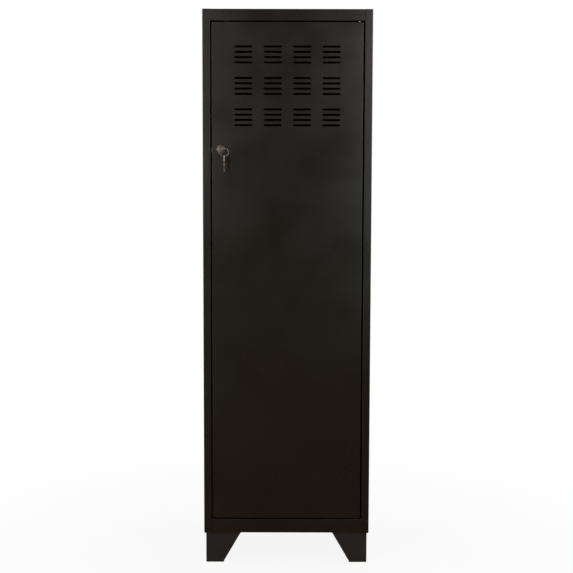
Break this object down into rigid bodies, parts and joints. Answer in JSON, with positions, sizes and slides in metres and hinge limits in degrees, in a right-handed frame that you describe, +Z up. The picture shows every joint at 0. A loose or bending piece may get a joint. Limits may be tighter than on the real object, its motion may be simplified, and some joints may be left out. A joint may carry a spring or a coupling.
{
  "type": "locker cabinet",
  "caption": "Tall single-door steel locker with slotted vents, a cam lock with keys, a hat shelf and a hanging rail, on folded feet.",
  "frame": {"origin": "floor level, the middle of the width, and halfway between the back and the key hanging in front of the door", "axes": "+Z up, the door faces -Y, +X to the right of someone facing the door"},
  "size_m": [0.5, 0.4896, 1.659],
  "materials": {
    "powder_coat": "satin near-black powder coat",
    "painted_rivet": "satin near-black powder coat",
    "foot_coat": "satin near-black powder coat",
    "chromed_rail": "bright chrome plate",
    "zinc_plate": "bright zinc plate",
    "rivet_aluminium": "bare aluminium",
    "lock_nickel": "dull nickel plate",
    "key_nickel": "worn nickel plate over brass",
    "ring_steel": "nickel-plated spring steel",
    "nylon": "black nylon",
    "black_rubber": "matt rubber",
    "black_glide": "matt black nylon"
  },
  "bodies": {
    "cabinet": {"left_side_panel": "powder_coat", "right_side_panel": "powder_coat", "top_panel": "powder_coat", "floor_panel": "powder_coat", "back_panel": "powder_coat", "back_rivets": "painted_rivet", "hat_shelf": "powder_coat", "left_shelf_bracket": "powder_coat", "right_shelf_bracket": "powder_coat", "hanging_rail": "chromed_rail", "left_rail_socket": "chromed_rail", "right_rail_socket": "chromed_rail", "strike_plate": "zinc_plate", "upper_stop": "powder_coat", "stop_rivet": "rivet_aluminium", "door_buffers": "black_rubber", "lower_hinge_pin": "zinc_plate", "upper_hinge_pin": "zinc_plate", "hinge_washer": "nylon", "front_left_foot": "foot_coat", "front_right_foot": "foot_coat", "rear_left_foot": "foot_coat", "rear_right_foot": "foot_coat", "foot_bolts": "zinc_plate", "foot_nuts": "zinc_plate", "foot_glides": "black_glide"},
    "door": {"door_panel": "powder_coat", "door_stiffener": "powder_coat", "lower_hinge_bush": "nylon", "upper_hinge_bush": "nylon", "lock_barrel": "lock_nickel", "lock_nut": "zinc_plate"},
    "lock_core": {"lock_plug": "lock_nickel", "lock_cam": "zinc_plate", "cam_screw": "zinc_plate"},
    "key": {"door_key": "key_nickel"},
    "ring": {"key_ring": "ring_steel"},
    "spare": {"spare_key": "key_nickel"}
  },
  "joints": [
    {"name": "door_swing", "type": "hinge", "parent": "cabinet", "child": "door", "pos_m": [0.211, -0.1978, 0.135], "axis": [0, 0, 1], "range_deg": [0, 110]},
    {"name": "lock_turn", "type": "hinge", "parent": "door", "child": "lock_core", "pos_m": [-0.196, -0.2058, 1.251], "axis": [0, 1, 0], "range_deg": [0, 90]},
    {"name": "key_pull", "type": "slide", "parent": "lock_core", "child": "key", "axis": [0, -1, 0], "range_m": [0, 0.035]},
    {"name": "ring_hang", "type": "hinge", "parent": "key", "child": "ring", "pos_m": [-0.1847, -0.2317, 1.251], "axis": [0, 1, 0], "range_deg": [-90, 0]},
    {"name": "spare_key_swing", "type": "hinge", "parent": "ring", "child": "spare", "pos_m": [-0.1847, -0.2317, 1.22966], "axis": [-1, 0, 0], "range_deg": [-15, 60]}
  ],
  "couplings": [
    {"joint": "ring_hang", "follows": "lock_turn", "ratio": -1}
  ]
}
